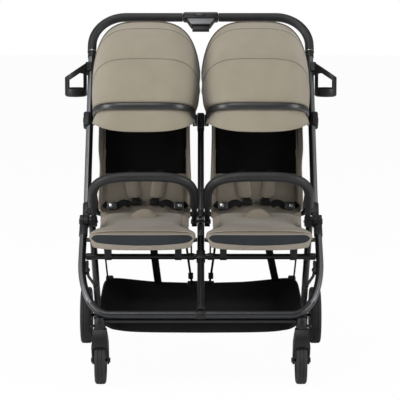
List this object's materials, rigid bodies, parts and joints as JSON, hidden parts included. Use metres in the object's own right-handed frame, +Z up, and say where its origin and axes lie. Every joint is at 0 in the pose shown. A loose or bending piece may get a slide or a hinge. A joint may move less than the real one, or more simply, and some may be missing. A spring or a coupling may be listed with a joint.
{
  "type": "twin stroller",
  "caption": "Side by side folding stroller: tubular push frame, round hoods, padded seats with bumper bars, swivel front casters, rear wheels and a wide basket.",
  "frame": {"origin": "on the floor, under the middle of the stroller's outline", "axes": "+Z up, the stroller faces -Y, +X to the right of someone who looks at its front"},
  "size_m": [0.85, 0.7546, 1.0514],
  "materials": {
    "frame_tube": "satin",
    "black_plastic": "satin",
    "leatherette": "matte",
    "grey_trim": "satin",
    "gloss_black": "gloss",
    "taupe_cloth": "matte",
    "dark_mesh": "matte",
    "webbing": "matte",
    "tyre": "matte"
  },
  "bodies": {
    "chassis": {"front_leg_left": "frame_tube", "front_leg_right": "frame_tube", "front_crossbar": "frame_tube", "basket_rail": "frame_tube", "caster_housing_left": "black_plastic", "caster_housing_right": "black_plastic", "centre_post_lower": "frame_tube", "seat_cross_tube": "frame_tube", "seat_board_left": "black_plastic", "seat_board_right": "black_plastic", "seat_pad_left": "taupe_cloth", "seat_pad_right": "taupe_cloth", "basket": "dark_mesh", "buckle_left": "webbing", "buckle_right": "webbing"},
    "rear_frame": {"rear_leg_left": "frame_tube", "rear_leg_right": "frame_tube", "rear_axle": "frame_tube"},
    "rear_wheel_left": {"rear_tyre_left": "tyre", "rear_rim_left": "black_plastic"},
    "rear_wheel_right": {"rear_tyre_right": "tyre", "rear_rim_right": "black_plastic"},
    "brake_pedal": {"brake_pedal": "black_plastic"},
    "caster_left": {"caster_fork_left": "black_plastic"},
    "caster_right": {"caster_fork_right": "black_plastic"},
    "front_wheel_left": {"front_tyre_left": "tyre", "front_rim_left": "black_plastic"},
    "front_wheel_right": {"front_tyre_right": "tyre", "front_rim_right": "black_plastic"},
    "push_frame": {"side_tube_left": "frame_tube", "side_tube_right": "frame_tube", "hinge_cap_left": "black_plastic", "hinge_cap_right": "black_plastic", "handle_grip_left": "leatherette", "handle_grip_right": "leatherette", "centre_post_upper": "frame_tube", "back_hoop": "frame_tube", "cup_holder_left": "black_plastic", "cup_holder_right": "black_plastic", "fold_housing": "grey_trim"},
    "fold_lever": {"fold_lever": "black_plastic"},
    "fold_button": {"fold_button": "grey_trim"},
    "canopy_left": {"canopy_left": "taupe_cloth", "canopy_bow_left": "gloss_black"},
    "canopy_right": {"canopy_right": "taupe_cloth", "canopy_bow_right": "gloss_black"},
    "backrest_left": {"backrest_left": "taupe_cloth", "harness_left": "webbing"},
    "backrest_right": {"backrest_right": "taupe_cloth", "harness_right": "webbing"},
    "leg_rest_left": {"leg_rest_left": "dark_mesh"},
    "leg_rest_right": {"leg_rest_right": "dark_mesh"},
    "bumper_sockets_left": {"bumper_socket_outer_left": "black_plastic", "bumper_socket_inner_left": "black_plastic"},
    "bumper_sockets_right": {"bumper_socket_outer_right": "black_plastic", "bumper_socket_inner_right": "black_plastic"},
    "bumper_left": {"bumper_bar_left": "leatherette"},
    "bumper_right": {"bumper_bar_right": "leatherette"},
    "buckle_button_left": {"buckle_button_left": "grey_trim"},
    "buckle_button_right": {"buckle_button_right": "grey_trim"}
  },
  "joints": [
    {"name": "frame_fold", "type": "hinge", "parent": "chassis", "child": "push_frame", "pos_m": [0, -0.0685, 0.442], "axis": [1, 0, 0], "range_deg": [0, 108]},
    {"name": "rear_fold", "type": "hinge", "parent": "chassis", "child": "rear_frame", "pos_m": [0, -0.0685, 0.442], "axis": [1, 0, 0], "range_deg": [-44, 0]},
    {"name": "rear_wheel_left_spin", "type": "hinge", "parent": "rear_frame", "child": "rear_wheel_left", "pos_m": [-0.3645, 0.2655, 0.09], "axis": [1, 0, 0], "continuous": true},
    {"name": "rear_wheel_right_spin", "type": "hinge", "parent": "rear_frame", "child": "rear_wheel_right", "pos_m": [0.3645, 0.2655, 0.09], "axis": [1, 0, 0], "continuous": true},
    {"name": "brake_press", "type": "hinge", "parent": "rear_frame", "child": "brake_pedal", "pos_m": [0, 0.2655, 0.09], "axis": [1, 0, 0], "range_deg": [-22, 0]},
    {"name": "caster_left_swivel", "type": "hinge", "parent": "chassis", "child": "caster_left", "pos_m": [-0.291, -0.3385, 0.17], "axis": [0, 0, 1], "continuous": true},
    {"name": "caster_right_swivel", "type": "hinge", "parent": "chassis", "child": "caster_right", "pos_m": [0.291, -0.3385, 0.17], "axis": [0, 0, 1], "continuous": true},
    {"name": "front_wheel_left_spin", "type": "hinge", "parent": "caster_left", "child": "front_wheel_left", "pos_m": [-0.291, -0.3055, 0.07], "axis": [1, 0, 0], "continuous": true},
    {"name": "front_wheel_right_spin", "type": "hinge", "parent": "caster_right", "child": "front_wheel_right", "pos_m": [0.291, -0.3055, 0.07], "axis": [1, 0, 0], "continuous": true},
    {"name": "fold_lever_pull", "type": "slide", "parent": "push_frame", "child": "fold_lever", "axis": [0, 0.5877, 0.8091], "range_m": [0, 0.005], "stiffness_N_per_m": 300, "springref_m": -0.002},
    {"name": "fold_button_slide", "type": "slide", "parent": "push_frame", "child": "fold_button", "axis": [1, 0, 0], "range_m": [0, 0.006], "stiffness_N_per_m": 200, "springref_m": -0.001},
    {"name": "hood_left_fold", "type": "hinge", "parent": "push_frame", "child": "canopy_left", "pos_m": [-0.1713, 0.13836, 0.7268], "axis": [1, 0, 0], "range_deg": [-80, 0], "deforming": ["canopy_left"]},
    {"name": "hood_right_fold", "type": "hinge", "parent": "push_frame", "child": "canopy_right", "pos_m": [0.1713, 0.13836, 0.7268], "axis": [1, 0, 0], "range_deg": [-80, 0], "deforming": ["canopy_right"]},
    {"name": "backrest_left_recline", "type": "hinge", "parent": "push_frame", "child": "backrest_left", "pos_m": [-0.1705, 0.1, 0.44], "axis": [1, 0, 0], "range_deg": [-40, 0]},
    {"name": "backrest_right_recline", "type": "hinge", "parent": "push_frame", "child": "backrest_right", "pos_m": [0.1705, 0.1, 0.44], "axis": [1, 0, 0], "range_deg": [-40, 0]},
    {"name": "leg_rest_left_lift", "type": "hinge", "parent": "chassis", "child": "leg_rest_left", "pos_m": [-0.1725, -0.183, 0.411], "axis": [1, 0, 0], "range_deg": [-60, 0]},
    {"name": "leg_rest_right_lift", "type": "hinge", "parent": "chassis", "child": "leg_rest_right", "pos_m": [0.1725, -0.183, 0.411], "axis": [1, 0, 0], "range_deg": [-60, 0]},
    {"name": "bumper_left_turn", "type": "hinge", "parent": "chassis", "child": "bumper_sockets_left", "pos_m": [-0.1694, -0.0685, 0.442], "axis": [1, 0, 0], "range_deg": [0, 39.5]},
    {"name": "bumper_right_turn", "type": "hinge", "parent": "chassis", "child": "bumper_sockets_right", "pos_m": [0.1694, -0.0685, 0.442], "axis": [1, 0, 0], "range_deg": [0, 39.5]},
    {"name": "bumper_left_release", "type": "slide", "parent": "bumper_sockets_left", "child": "bumper_left", "axis": [0, -0.7373, 0.6756], "range_m": [0, 0.03]},
    {"name": "bumper_right_release", "type": "slide", "parent": "bumper_sockets_right", "child": "bumper_right", "axis": [0, -0.7373, 0.6756], "range_m": [0, 0.03]},
    {"name": "buckle_left_press", "type": "slide", "parent": "chassis", "child": "buckle_button_left", "axis": [0, 0, -1], "range_m": [0, 0.002], "stiffness_N_per_m": 300, "springref_m": -0.001},
    {"name": "buckle_right_press", "type": "slide", "parent": "chassis", "child": "buckle_button_right", "axis": [0, 0, -1], "range_m": [0, 0.002], "stiffness_N_per_m": 300, "springref_m": -0.001}
  ],
  "couplings": [
    {"joint": "rear_fold", "follows": "frame_fold", "ratio": -0.4},
    {"joint": "bumper_left_turn", "follows": "frame_fold", "ratio": 0.36},
    {"joint": "bumper_right_turn", "follows": "frame_fold", "ratio": 0.36}
  ]
}
